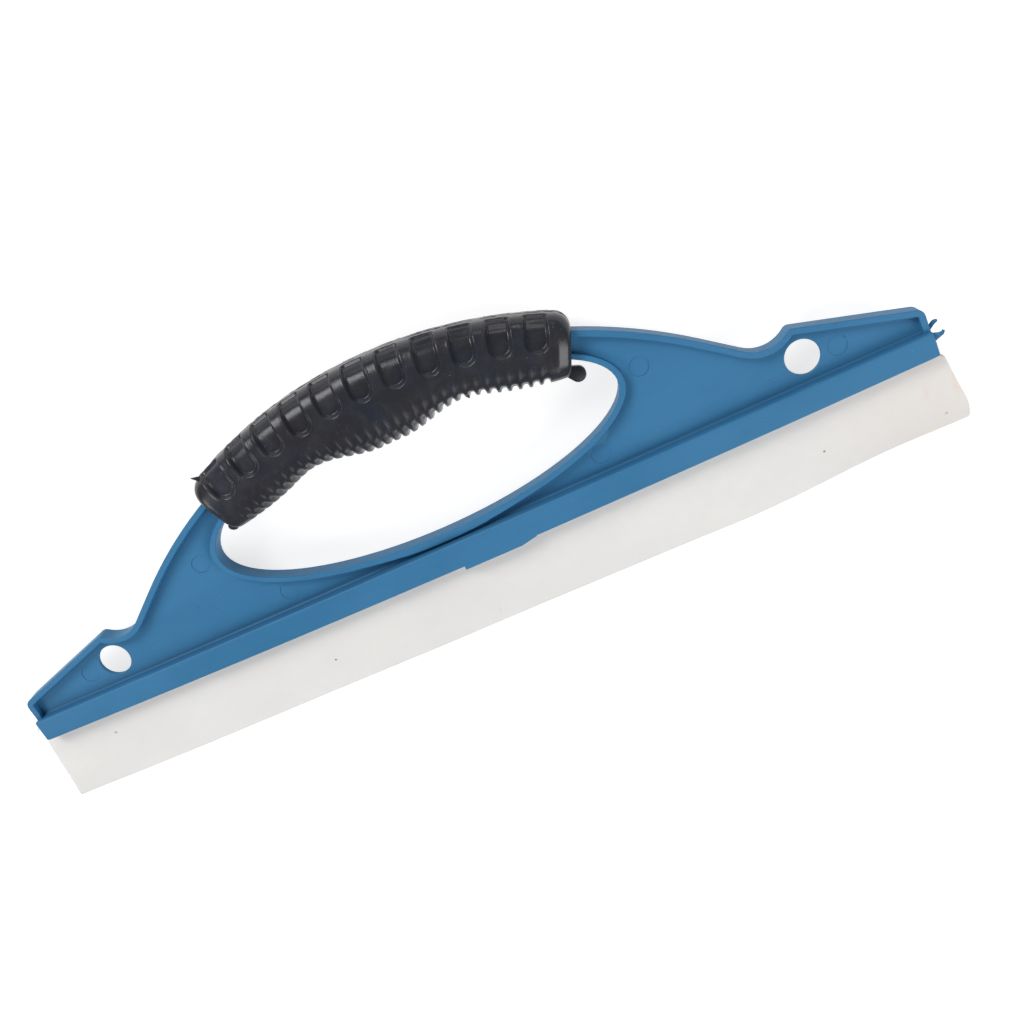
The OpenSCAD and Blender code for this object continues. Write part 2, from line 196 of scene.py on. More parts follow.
def rib_height(phi, rho, below):
    """Height of the ribbed underside over the plain one.

    below is 0 at the waist and 1 at the lower edge.
    """
    a = np.abs(phi) / RIB_PITCH
    u = np.abs(a - np.floor(a + 0.5))
    scallop = np.sqrt(np.maximum(1 - (u / 0.33) ** 2, 0))
    ribbed = smoothstep((RIBS / 2 + 0.5 - a) / 0.06)
    deep = 0.05 * smoothstep(below / 0.12) + 0.2 * smoothstep((below - 0.4) / 0.25)
    deep += 0.75 * smoothstep((below - 0.6) / 0.25)
    # each rib starts at the waist as a low rounded crest
    across = (0.5 - u) * np.radians(RIB_PITCH) * rho
    crest = smoothstep((0.5 - np.hypot(across, np.maximum(rho - WAIST_RHO + 0.9, 0))) / 0.3)
    crest = np.where(a < RIBS / 2, crest, 0) * (1 - smoothstep((below - 0.7) / 0.25))
    # thin uneven flash lines along both flanks of each rib
    line = np.exp(-(((u - 0.37) / 0.05) ** 2)) * smoothstep(below / 0.1)
    line *= 1 - smoothstep((below - 0.55) / 0.2)
    line = np.where(a < RIBS / 2, line, 0) * (0.5 + 0.5 * wander(rho + 7.3 * phi, 21, 1.7))
    return ribbed * (0.03 * crest + 0.09 * line - RIB_DEPTH * deep * scallop)


def phi_lines():
    """Angles of the sections: close together at rib flanks, pocket walls and the rounded ends."""
    least, least_end = 0.055, 0.02       # smallest steps, in degrees
    rib = np.array([0, 0.11, 0.22, 0.31, 0.37, 0.5, 0.63, 0.69, 0.78, 0.89])
    lines = [(k + rib) * RIB_PITCH for k in range(RIBS // 2)]
    lines.append((RIBS // 2 + rib[:6]) * RIB_PITCH)
    # the plain stretch past the last rib
    lines.append(np.arange(21.3, GRIP_HALF_ANGLE - 0.95, 0.2))
    wall = np.degrees((POCKET_RADIUS + np.array([-0.45, -0.2, 0, 0.2, 0.45])) / ARCH_RADIUS)
    for k in range(POCKETS // 2 + 1):
        lines += [k * POCKET_PITCH + wall, k * POCKET_PITCH - wall]
    rounding = np.degrees(CROWN_RADIUS / ARCH_RADIUS)
    lines.append(GRIP_HALF_ANGLE - rounding * (1 - np.sin(np.radians(np.linspace(30, 90, 10)))))
    found = np.unique(np.round(np.concatenate(lines), 5))
    found = found[(found > least_end) & (found <= GRIP_HALF_ANGLE)]
    kept = [found[-1]]
    for value in found[-2::-1]:
        if kept[-1] - value > (least_end if value > GRIP_HALF_ANGLE - 0.3 else least):
            kept.append(value)
    half = np.array(kept[::-1])
    return np.concatenate([-half[::-1], [0], half])


def section_curve(t, rise, drop, half):
    """Plain section at angles t: shares up and out, height over the waist line, and depth z."""
    s, c = np.sin(t), np.cos(t)
    power = np.where(s > 0, 2 / SHOULDER_POWER, 2 / UNDER_POWER)
    up, out = np.sign(s) * np.abs(s) ** power, np.sign(c) * np.abs(c) ** power
    return up, out, np.where(up > 0, rise, drop) * up, half * out


def ring_angles():
    """Angles round a section in degrees from the front, close together where it has detail."""
    t = np.radians(np.linspace(-90, 90, 8001))
    rise, drop = GRIP_TOP_RHO - WAIST_RHO, WAIST_RHO - GRIP_PALM_RHO
    high, z = section_curve(t, rise, drop, HALF_THICK)[2:]
    spacing = np.full(len(t), 0.6)
    for height, reach, step in ((-1.5, 3, 0.36), (3.3, 2.4, 0.28), (12, 3, 0.42)):
        spacing = np.where(np.abs(high - height) < reach, np.minimum(spacing, step), spacing)
    spacing = np.where((np.abs(z - RIDGE_HALF) < 0.9) & (high > 0), 0.18, spacing)
    spacing = np.where((z < 2.5 * FLASH_HALF) & (high > 0), FLASH_HALF / 2, spacing)
    walk = np.concatenate([[0], np.cumsum(np.hypot(np.diff(high), np.diff(z)) / spacing[1:])])
    count = int(round(walk[-1]))
    front = np.degrees(np.interp(np.arange(count + 1) * walk[-1] / count, walk, t))
    return np.concatenate([front, 180 - front[-2:0:-1]])


def surface(phi, t):
    """Points of the finished outer surface on a grid of phi by t."""
    top, low, half = (v[:, None] for v in grip_section(phi))
    t = np.radians(t)[None, :]
    rise, drop = top - WAIST_RHO, WAIST_RHO - low
    up, out, high, z = section_curve(t, rise, drop, half)
    rho = WAIST_RHO + high
    p = phi[:, None] + 0 * t
    near_end = smoothstep((GRIP_HALF_ANGLE - np.abs(p)) / 0.5)
    sink = pocket_depth(p, rho, z) * near_end - rib_height(p, rho, np.maximum(-up, 0))
    # uneven flash left along the parting line on top
    flash = FLASH_HEIGHT * (0.55 + 0.45 * wander(p, 5, 0.5)) * (0.8 + 0.4 * wander(p, 6, 2.5))
    sink -= np.where(up > 0, flash * smoothstep(1 - np.abs(z) / FLASH_HALF), 0) * near_end
    # slightly uneven moulded skin
    sink += 0.035 * wander(p * 2.6 + z, 7, 3.1) * wander(rho * 1.7 - z, 8, 4.3) * near_end
    # push inwards along the section's own normal
    power = np.where(up > 0, SHOULDER_POWER, UNDER_POWER) - 1
    ny = np.sign(up) * np.abs(up) ** power / np.where(up > 0, rise, drop)
    nz = np.sign(out) * np.abs(out) ** power / np.maximum(half, 1e-6)
    length = np.maximum(np.hypot(ny, nz), 1e-9)
    rho, z = rho - sink * ny / length, z - sink * nz / length
    # the left end leans back a little above the arch
    lean = -0.25 * (rho - LEAN_RHO) / 10 * smoothstep((-p - LEAN_ANGLE) / 4)
    a = np.radians(p + np.where(rho > LEAN_RHO, lean, 0))
    return np.stack([rho * np.sin(a), ARCH_Y + rho * np.cos(a), z], -1)


def opening_rho(phi):
    """Distance from the arch's centre to the upper edge of the hand opening."""
    a, b, y0 = OPENING
    s, c, d = math.sin(math.radians(phi)), math.cos(math.radians(phi)), ARCH_Y - y0
    qa, qb, qc = (s / a) ** 2 + (c / b) ** 2, 2 * c * d / b**2, (d / b) ** 2 - 1
    return (-qb + math.sqrt(qb * qb - 4 * qa * qc)) / (2 * qa)


def tunnel_ring(phi, t, recess):
    """Section of the arch in the grip, with as many points as the outer ring.

    With recess it follows the arch's web and rims, as at the grip's ends.
    """
    low, high = opening_rho(phi) - TUNNEL_GAP, ARCH_RADIUS + TUNNEL_GAP
    mid, tall, deep = (low + high) / 2, (high - low) / 2, RIM_HALF_DEPTH + TUNNEL_GAP
    c, s = np.cos(np.radians(t)), np.sin(np.radians(t))
    scale = 1 / np.maximum(np.abs(c) / deep, np.abs(s) / tall)
    rho, z = mid + tall * np.clip(s * scale / tall, -1, 1), np.clip(c * scale, -deep, deep)
    if recess:
        inner = tall - RIM_WIDTH - 0.1
        sunk = (np.abs(rho - mid) < inner) & (np.abs(z) > WEB_HALF)
        z = np.where(sunk, np.sign(z) * (WEB_HALF + TUNNEL_GAP), z)
    a = math.radians(phi)
    return np.stack([rho * math.sin(a), ARCH_Y + rho * math.cos(a), z], -1)


def build_grip():
    """The grip: its outer surface from left to right, and back through the tunnel of the arch."""
    phi, t = phi_lines(), ring_angles()
    cores = [(GRIP_HALF_ANGLE, True), (CORE_HALF_ANGLE, True), (CORE_HALF_ANGLE - 0.01, False)]
    cores += [(a, False) for a in np.linspace(20, -20, 11)]
    cores += [(-a, r) for a, r in cores[2::-1]]
    inner = np.stack([tunnel_ring(a, t, r) for a, r in cores])
    rings = np.concatenate([surface(phi, t), inner])
    return make_object("grip_cover", rings, ring_faces(len(rings), len(t), closed=True))


def tube(name, path, radii, flat=1.0, sides=12, steps=6):
    """Closed tapering body along a smooth path through points; flat squeezes it in depth."""
    path, radii = np.asarray(path, float), np.asarray(radii, float)
    u = np.linspace(0, len(path) - 1, steps * (len(path) - 1) + 1)
    pad = np.vstack([2 * path[0] - path[1], path, 2 * path[-1] - path[-2]])
    i = np.clip(np.floor(u).astype(int), 0, len(path) - 2)
    f = (u - i)[:, None]
    p0, p1, p2, p3 = pad[i], pad[i + 1], pad[i + 2], pad[i + 3]
    line = 0.5 * (2 * p1 + (p2 - p0) * f + (2 * p0 - 5 * p1 + 4 * p2 - p3) * f**2
                  + (3 * p1 - p0 - 3 * p2 + p3) * f**3)
    size = np.interp(u, range(len(path)), radii)
    ahead = np.gradient(line, axis=0)
    ahead /= np.linalg.norm(ahead, axis=1, keepdims=True)
    side = np.cross(ahead, [0, 0, 1])
    side /= np.linalg.norm(side, axis=1, keepdims=True)
    over = np.cross(side, ahead)
    # rounded ends
    caps = np.radians([88, 60, 30])
    start = line[0] - ahead[0] * size[0] * np.sin(caps)[:, None]
    end = line[-1] + ahead[-1] * size[-1] * np.sin(caps[::-1])[:, None]
    centre = np.vstack([start, line, end])
    scale = np.concatenate([size[0] * np.cos(caps), size, size[-1] * np.cos(caps[::-1])])
    pick = np.pad(np.arange(len(line)), len(caps), mode="edge")
    a = np.radians(np.arange(sides) * 360 / sides)[None, :, None]
    spokes = np.cos(a) * side[pick][:, None] + flat * np.sin(a) * over[pick][:, None]
    rings = centre[:, None] + scale[:, None, None] * spokes
    faces = ring_faces(len(rings), sides).tolist()
    n = len(rings) * sides
    faces += [list(range(sides))[::-1], list(range(n - sides, n))]
    return make_object(name, rings, faces)


def palm_end():
    """Where the grip's lower edge meets its right end, without the end's rounding."""
    rho = GRIP_PALM_RHO + FINGER_HOLLOW - HEEL_DROP + HEEL_RISE
    a = math.radians(GRIP_HALF_ANGLE)
    return np.array([rho * math.sin(a), ARCH_Y + rho * math.cos(a)])


def moulded_tab(name, discs, edge, flip=1):
    """Flat tab drawn round discs given as (x, plan height, radius), with edges rounded by edge."""
    mesh = bmesh.new()
    for x, y, r in discs:
        for inset, depth in ((edge, TAB_HALF_DEPTH), (0.3 * edge, TAB_HALF_DEPTH - 0.3 * edge),
                             (0, TAB_HALF_DEPTH - edge)):
            for a in np.radians(np.arange(0, 360, 7.5)):
                across, up = (r - inset) * math.cos(a), (r - inset) * math.sin(a)
                for side in (-1, 1):
                    mesh.verts.new(to_frame([flip * (x + across), y + up, side * depth])[0])
    hull = bmesh.ops.convex_hull(mesh, input=mesh.verts)
    loose = {v for v in hull["geom_interior"] + hull["geom_unused"]
             if isinstance(v, bmesh.types.BMVert)}
    bmesh.ops.delete(mesh, geom=list(loose), context="VERTS")
    bmesh.ops.recalc_face_normals(mesh, faces=mesh.faces)
    data = bpy.data.meshes.new(name)
    mesh.to_mesh(data)
    mesh.free()
    return add_object(name, data, math.radians(35))


grip = build_grip()
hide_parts("grip")
heel_x, heel_y = palm_end()
root = (heel_x - 1, heel_y + 1.85, 1.3)
grip_pieces = [
    grip,
    moulded_tab("moulding_tab", [(heel_x + 2.1, heel_y - 0.55, 2.4), root,
                                 (heel_x - 0.9, heel_y + 1.6, 1.1)], 0.3),
    moulded_tab("torn_stub", [(heel_x + 2.4, heel_y + 1.65, 1.1), root], 0.35, flip=-1),
    tube("torn_stub_lip", [(-59.3, 41.6, 1.0), (-59.8, 40.6, 1.3), (-59.2, 39.8, 1.5),
                           (-58.1, 39.4, 1.4), (-56.8, 39.8, 1.0)], [0.4, 0.5, 0.55, 0.5, 0.3]),
    tube("corner_flash", [(-58.8, 58.6, 4.0), (-59.9, 59.3, 4.2), (-61.0, 59.9, 4.3)],
         [0.95, 0.55, 0.15], flat=0.45),
    tube("rib_nub", [(26.6, 49.0, 6.2), (26.9, 47.9, 6.3), (27.0, 47.3, 6.3)],
         [0.5, 0.42, 0.3], flat=0.8)]
for piece in grip_pieces:
    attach(piece, "frame_body")


# ---------------------------------------------------------------- blade
BLADE_HALF, BLADE_FLARE, TAPER_START = 157.3, 2.9, 1.5
BLADE_SHIFT = -0.7                     # the blade sits a little to the left in its slot
BLADE_THICK, EDGE_THICK, HEAD_DEPTH = 2.2, 1.4, 5.2
HEAD_BOTTOM, HEAD_TOP = 2.25, 4.65
TIP_START = 0.985                      # share of the half length at which the tips begin
CORNER_RIGHT, CORNER_LEFT = 1.0, 0.5   # radii of the two lower corners
# How far the free edge droops towards the floor: most, from which x, over which length
DROOPS = ((5.0, 88.0, 54.0), (0.6, -20.0, 40.0), (0.9, -112.0, -46.0))
# Both ends are cut by hand: bulge past the straight cut, from the jaw down to the edge
END_DEPTHS = [0, 0.12, 0.31, 0.5, 0.6, 0.7, 0.78, 0.86, 0.94, 1]
END_BULGE_RIGHT = [0, 0.35, 0.6, 0.95, 1.3, 1.6, 1.6, 1.4, 1.0, 0.6]
END_BULGE_LEFT = [0, 0, 0, 0.05, 0.08, 0.12, 0.18, 0.25, 0.32, 0.4]


def blade_half_length(y):
    """Half length of the blade at plan height y: flared below the jaw, flush with it inside."""
    low = BLADE_HALF + BLADE_FLARE * (-TAPER_START - y) / (BLADE_REACH - TAPER_START)
    inside = FRAME_END + (BLADE_HALF - FRAME_END) * np.clip(-y / TAPER_START, 0, 1)
    return np.where(y < -TAPER_START, low, inside)


def blade_profile():
    """Front half of the section as (height, depth), from the wiping edge to the head's top."""
    n, e, h = BLADE_THICK / 2, EDGE_THICK / 2, HEAD_DEPTH / 2
    edge = BLADE_REACH - 0.3
    side = [(-BLADE_REACH, e - 0.2), (-BLADE_REACH + 0.06, e - 0.09), (-edge, e)]
    for y in (25.0, 24.7, 24.3, 23.7, 22.8, 21.5, 20, 18, 16, 14, 12, 10, 8, 6, 4, 2.6):
        side.append((-y, e + (n - e) * (edge - y) / (edge - TAPER_START)))
    side += [(-TAPER_START, n), (-0.7, n), (0, n), (1, n), (HEAD_BOTTOM - 0.25, n),
             (HEAD_BOTTOM - 0.07, n + 0.07), (HEAD_BOTTOM, n + 0.25), (HEAD_BOTTOM, h - 0.3),
             (HEAD_BOTTOM + 0.09, h - 0.09), (HEAD_BOTTOM + 0.3, h), (HEAD_TOP - 0.5, h),
             (HEAD_TOP - 0.15, h - 0.15), (HEAD_TOP, h - 0.5)]
    return np.array(side)


def end_faces(rings, n):
    """Quads that close both ends of rings whose second half runs back beside the first."""
    first = [[n - 1 - i, n - 2 - i, i + 1, i] for i in range(n // 2 - 1)]
    last = (rings - 1) * n
    return first + [[last + k for k in quad[::-1]] for quad in first]


def build_blade():
    """The blade: its section from the left end to the right one, with droop and uneven ends."""
    side = blade_profile()
    y = np.concatenate([side[:, 0], side[::-1, 0]])
    z = np.concatenate([side[:, 1], -side[::-1, 1]])
    depth = np.clip(-y / BLADE_REACH, 0, 1)
    share = np.concatenate([np.linspace(0, 0.55, 60)[:-1], np.linspace(0.55, TIP_START, 90)[:-1],
                            np.linspace(TIP_START, 1, 10)])
    share = np.concatenate([-share[:0:-1], share])
    rings = []
    for u in share:
        bulge, r = (END_BULGE_RIGHT, CORNER_RIGHT) if u > 0 else (END_BULGE_LEFT, CORNER_LEFT)
        x = u * blade_half_length(y)
        # the two lower corners are slightly rounded
        if abs(u) >= TIP_START:
            drop = np.clip((r - (y + BLADE_REACH)) / r, 0, 1)
            cut = r * (1 - np.sqrt(1 - drop**2)) * (abs(u) - TIP_START) / (1 - TIP_START)
            x = x - np.sign(u) * cut
        near_end = smoothstep((abs(u) - 0.9) / 0.1)
        x = x + np.sign(u) * np.interp(depth, END_DEPTHS, bulge) * near_end
        down = sum(most * smoothstep((x - start) / run) for most, start, run in DROOPS)
        # barely visible waves in the free edge
        down = down * depth**1.6 + 0.12 * wander(x, 21, 17.0) * depth**2
        # the bent lip is a little shorter in plan
        y_here = y + 0.5 * down * depth * down / BLADE_REACH
        pinch = 1 - 0.1 * (abs(u) > 0.9999)
        rings.append(np.stack([x + BLADE_SHIFT, y_here, z * pinch - down], -1))
    faces = ring_faces(len(rings), len(y)).tolist() + end_faces(len(rings), len(y))
    return make_object("blade_strip", rings, faces, math.radians(40))


blade = build_blade()
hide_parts("blade")
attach(blade, "blade_body")

# ---------------------------------------------------------------- frame
EDGE_ROUNDING = 0.3
MARK_REACH = 3.2                       # ejector marks keep their sharp edges, this far out
# The moulded jaw sags a little between its ends: most at its lower edge, less at its top
SAG, SAG_MIDDLE, SAG_HALF, SAG_TOP_SHARE, SAG_CUTS = 1.55, -8.0, 145.0, 0.42, 43
JAW_TOP = 7.7
SAG_HEIGHTS, SAG_SHARES = (1.2, JAW_TOP, JAW_TOP + 0.9, 10.4), (1, SAG_TOP_SHARE, SAG_TOP_SHARE, 0)
SLOT_HALF, SLOT_LOW, SLOT_HIGH = 2.8, 1.5, 6    # the slot's inside stays straight
FLAT_ANGLE, SHARP_ANGLE = math.radians(0.3), math.radians(30)


def jaw_sag(x, y):
    """How far the jaw's plastic lies below its straight line at x and plan height y."""
    along = SAG * (1 - ((x - SAG_MIDDLE) / SAG_HALF) ** 2)
    return along * float(np.interp(y, SAG_HEIGHTS, SAG_SHARES))


def exposed(edge):
    """Whether an edge is sharp and gets rounded: on the rims, the holes and the jaw's ends."""
    if len(edge.link_faces) != 2 or edge.calc_face_angle() < SHARP_ANGLE or not edge.is_convex:
        return False
    points = [v.co / MM - Vector((0, JAW_Y, 0)) for v in edge.verts]
    in_jaw = all(q.y < JAW_TOP + 1.5 and abs(q.x) < FRAME_END - 0.05 for q in points)
    in_mark = all(abs(abs(q.z) - WEB_HALF) < 0.25 for q in points) and all(
        min(math.hypot(abs(q.x) - cx, q.y - cy) for cx, cy in MARKS) < MARK_REACH for q in points)
    in_slot = all(q.y < 6.5 and abs(q.z) < 4 for q in points)
    return not (in_jaw or in_mark or in_slot)


def build_frame():
    """Copy of the CAD frame with a sagging jaw and rounded outer edges."""
    mesh = bmesh.new()
    mesh.from_mesh(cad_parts["frame"].data)
    bmesh.ops.remove_doubles(mesh, verts=mesh.verts, dist=2e-6)
    bmesh.ops.dissolve_limit(mesh, angle_limit=FLAT_ANGLE, verts=mesh.verts, edges=mesh.edges)
    sag_top = SAG_HEIGHTS[-1]
    for x in np.linspace(-FRAME_END, FRAME_END, SAG_CUTS)[1:-1]:
        near = [f for f in mesh.faces if min(v.co.y for v in f.verts) / MM < JAW_Y + sag_top]
        parts = dict.fromkeys(g for f in near for g in [f, *f.verts, *f.edges])
        bmesh.ops.bisect_plane(mesh, geom=list(parts), dist=1e-6, plane_co=(x * MM, 0, 0),
                               plane_no=(1, 0, 0))
    for v in mesh.verts:
        y = v.co.y / MM - JAW_Y
        inside = abs(v.co.z) / MM < SLOT_HALF and SLOT_LOW < y < SLOT_HIGH
        if y < sag_top and not inside:
            v.co.y -= jaw_sag(v.co.x / MM, y) * MM
    edges = [e for e in mesh.edges if exposed(e)]
    bmesh.ops.bevel(mesh, geom=edges, offset=EDGE_ROUNDING * MM, segments=3, profile=0.5,
                    affect="EDGES", clamp_overlap=False, miter_outer="ARC")
    data = bpy.data.meshes.new("frame_moulding")
    mesh.to_mesh(data)
    mesh.free()
    obj = add_object("frame_moulding", data, SHARP_ANGLE)
    even = obj.modifiers.new("even_normals", "WEIGHTED_NORMAL")
    even.mode, even.weight, even.keep_sharp = "FACE_AREA_WITH_ANGLE", 80, True
    return obj


def build_leaf():
    """Thin torn leaf of plastic in front of the slot's right end, curled up at its tip."""
    top = np.array([(153.8, 7.25, 3.0), (155.4, 7.15, 3.2), (156.4, 6.9, 3.7), (157.1, 7.1, 4.4),
                    (157.4, 7.7, 5.0)])
    low = np.array([(153.8, 4.15, 3.0), (155.5, 4.85, 3.3), (156.5, 5.45, 3.8),
                    (157.5, 6.05, 4.4), (157.85, 7.25, 5.1)])
    half_thick, hollow = 0.16, 0.5
    u = np.linspace(0, len(top) - 1, 17)
    rows = [low * (1 - f) + top * f + [0, 0, hollow * math.sin(f * math.pi)]
            for f in np.linspace(0, 1, 9)]
    sheet = np.array([[np.interp(u, range(len(top)), r[:, c]) for c in range(3)] for r in rows])
    sheet = sheet.transpose(0, 2, 1)
    front, back = sheet + [0, 0, half_thick], sheet - [0, 0, half_thick]
    rings = np.concatenate([front, back[:, ::-1]], axis=1)
    count, n = rings.shape[:2]
    return make_object("flash_leaf", rings, ring_faces(count, n).tolist() + end_faces(count, n))


moulding = build_frame()
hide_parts("frame")
# The hair and the leaf hang in front of the slot, out of the way of the sliding blade
frame_pieces = [
    moulding,
    tube("flash_curl", [(154.2, 7.2, 0.3), (155.6, 8.4, 0.5), (156.6, 9.4, 1.0),
                        (157.2, 9.75, 1.5)], [0.75, 0.68, 0.72, 0.6], flat=0.6),
    build_leaf(),
    tube("flash_hair", [(-153.4, 5.6, 4.2), (-155.0, 5.3, 4.4), (-156.2, 4.5, 4.0),
                        (-157.0, 3.3, 3.7)], [0.16, 0.1, 0.07, 0.04], sides=8)]
for piece in frame_pieces:
    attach(piece, "frame_body")


# ---------------------------------------------------------------- materials
def srgb(r, g, b):
    def lin(c):
        c /= 255
        return c / 12.92 if c <= 0.04045 else ((c + 0.055) / 1.055) ** 2.4
    return (lin(r), lin(g), lin(b), 1)


class Nodes:
    """Short calls for building a node material; positions are in metres, in the shared frame."""

    def __init__(self, name):
        self.mat = bpy.data.materials.new(name)
        self.mat.use_nodes = True
        self.tree = self.mat.node_tree
        self.shader = self.tree.nodes["Principled BSDF"]
        self.where = self.tree.nodes.new("ShaderNodeTexCoord").outputs["Object"]

    def plug(self, socket, value):
        if isinstance(value, bpy.types.NodeSocket):
            self.tree.links.new(value, socket)
        else:
            socket.default_value = value

    def math(self, op, a, b=0.0):
        node = self.tree.nodes.new("ShaderNodeMath")
        node.operation = op
        self.plug(node.inputs[0], a)
        self.plug(node.inputs[1], b)
        return node.outputs[0]

    def mapping(self, scale=(1, 1, 1), shift=(0, 0, 0)):
        """Coordinates scaled by (x, y, z) and then shifted."""
        node = self.tree.nodes.new("ShaderNodeMapping")
        self.plug(node.inputs["Vector"], self.where)
        node.inputs["Scale"].default_value = scale
        node.inputs["Location"].default_value = shift
        return node.outputs[0]

    def noise(self, size_mm, detail=2.0, rough=0.5, scale=(1, 1, 1), warp=0.0):
        """Noise whose features are about size_mm wide."""
        node = self.tree.nodes.new("ShaderNodeTexNoise")
        self.plug(node.inputs["Vector"], self.mapping(scale))
        node.inputs["Scale"].default_value = 1000 / size_mm
        node.inputs["Detail"].default_value = detail
        node.inputs["Roughness"].default_value = rough
        node.inputs["Distortion"].default_value = warp
        return node.outputs["Fac"]

    def specks(self, cell_mm, radius, keep, seed=0.0):
        """1 in small round specks, one in some of the cells of a grid."""
        node = self.tree.nodes.new("ShaderNodeTexVoronoi")
        self.plug(node.inputs["Vector"], self.mapping(shift=(seed, seed, seed)))
        node.inputs["Scale"].default_value = 1000 / cell_mm
        near = self.step(node.outputs["Distance"], radius, radius * 0.5)
        split = self.tree.nodes.new("ShaderNodeSeparateColor")
        self.plug(split.inputs[0], node.outputs["Color"])
        return self.math("MULTIPLY", near, self.step(split.outputs[0], 1 - keep, 1 - keep + 0.02))

    def ramp(self, value, low, high, to, kind="LINEAR"):
        """Value mapped from the range low to high, either way round, to the range to."""
        node = self.tree.nodes.new("ShaderNodeMapRange")
        node.interpolation_type = kind
        keys = "Value", "From Min", "From Max", "To Min", "To Max"
        for key, v in zip(keys, (value, low, high, *to)):
            self.plug(node.inputs[key], v)
        return node.outputs[0]

    def step(self, value, low, high):
        """Smooth step from 0 at low to 1 at high, either way round."""
        return self.ramp(value, low, high, (0.0, 1.0), "SMOOTHSTEP")

    def mix(self, share, a, b):
        node = self.tree.nodes.new("ShaderNodeMix")
        node.data_type = "RGBA"
        self.plug(node.inputs[0], share)
        self.plug(node.inputs[6], a)
        self.plug(node.inputs[7], b)
        return node.outputs[2]

    def spot(self, x, y, radius, soft, stretch):
        """1 inside an oval mark at plan position x, y in millimetres, 0 outside."""
        wide, high = stretch
        far = self.tree.nodes.new("ShaderNodeVectorMath")
        far.operation = "LENGTH"
        self.plug(far.inputs[0], self.mapping((1000 / wide, 1000 / high, 0),
                                              (-x / wide, -(y + JAW_Y) / high, 0)))
        return self.step(far.outputs["Value"], radius * (1 + soft), radius * (1 - soft))

    def bump(self, height, distance_mm, strength, under=None):
        node = self.tree.nodes.new("ShaderNodeBump")
        node.inputs["Strength"].default_value = strength
        node.inputs["Distance"].default_value = distance_mm * MM
        self.plug(node.inputs["Height"], height)
        if under is not None:
            self.plug(node.inputs["Normal"], under)
        return node.outputs[0]

    def axis(self, k):
        """Position along X, Y or Z, for k of 0, 1 or 2."""
        node = self.tree.nodes.new("ShaderNodeSeparateXYZ")
        self.plug(node.inputs[0], self.where)
        return node.outputs[k]

    def finish(self, base, rough, normal):
        for key, value in (("Base Color", base), ("Roughness", rough), ("Normal", normal)):
            self.plug(self.shader.inputs[key], value)
        return self.mat


def blue_plastic():
    """Satin moulded plastic: fine spark texture, faint flow marks, pale and dark specks, and
    painted shade in the corner above the jaw.
    """
    n = Nodes("frame_plastic")
    cloud = n.noise(26, 3, 0.55, (0.5, 1, 1), 0.6)
    flow = n.noise(4, 3, 0.6, (0.22, 1, 1), 1.2)
    grain = n.noise(0.32, 2, 0.6)
    base = n.mix(n.step(cloud, 0.35, 0.65), srgb(55, 115, 157), srgb(60, 121, 164))
    base = n.mix(n.ramp(flow, 0.35, 0.75, (0, 0.22)), base, srgb(71, 130, 171))
    base = n.mix(n.ramp(grain, 0.3, 0.7, (0, 0.16)), base, srgb(43, 106, 150))
    rubbed = n.math("MULTIPLY", n.specks(2.6, 0.1, 0.16), 0.35)
    base = n.mix(rubbed, base, srgb(120, 165, 196))
    fleck = n.math("MULTIPLY", n.specks(5.2, 0.055, 0.2, 0.37), 0.6)
    base = n.mix(fleck, base, srgb(28, 62, 92))
    # painted shade in the corner between the top of the jaw and the web, darkening the fillet
    # there
    height = n.axis(1)
    corner = n.math("MULTIPLY", n.step(height, (JAW_Y + 6.3) * MM, (JAW_Y + 7.0) * MM),
                    n.step(height, (JAW_Y + 9.4) * MM, (JAW_Y + 8.2) * MM))
    inner = n.step(n.math("ABSOLUTE", n.axis(2)), 3.5 * MM, 1.8 * MM)
    corner = n.math("MULTIPLY", n.math("MULTIPLY", corner, inner), 0.45)
    base = n.mix(corner, base, srgb(38, 84, 120))
    rough = n.math("ADD", n.ramp(cloud, 0.3, 0.7, (0.40, 0.48)),
                   n.ramp(grain, 0.3, 0.7, (-0.05, 0.05)))
    skin = n.bump(n.noise(5.5, 2, 0.5, (0.6, 1, 1)), 0.05, 0.6)
    skin = n.bump(grain, 0.012, 0.5, skin)
    n.shader.inputs["Specular IOR Level"].default_value = 0.2
    return n.finish(base, rough, skin)


def grip_rubber():
    """Soft charcoal rubber: matt bloom in patches, fine grain, a little dust, faint casts."""
    n = Nodes("grip_rubber")
    bloom = n.noise(7, 3, 0.6, warp=0.8)
    cast = n.noise(10, 2, 0.5, (1, 1, 1.3))
    grain = n.noise(0.3, 3, 0.6)
    base = n.mix(n.step(bloom, 0.35, 0.7), srgb(43, 44, 49), srgb(51, 52, 57))
    base = n.mix(n.ramp(cast, 0.5, 0.72, (0, 0.4)), base, srgb(36, 42, 62))
    base = n.mix(n.ramp(cast, 0.5, 0.3, (0, 0.3)), base, srgb(46, 40, 50))
    dust = n.math("MULTIPLY", n.specks(1.7, 0.1, 0.1), 0.45)
    base = n.mix(dust, base, srgb(150, 152, 158))
    rough = n.math("ADD", n.ramp(bloom, 0.3, 0.7, (0.21, 0.28)),
                   n.ramp(grain, 0.3, 0.7, (-0.04, 0.04)))
    skin = n.bump(n.noise(1.6, 3, 0.6, warp=0.5), 0.06, 0.5)
    skin = n.bump(grain, 0.02, 0.5, skin)
    n.shader.inputs["Specular IOR Level"].default_value = 0.32
    return n.finish(base, rough, skin)


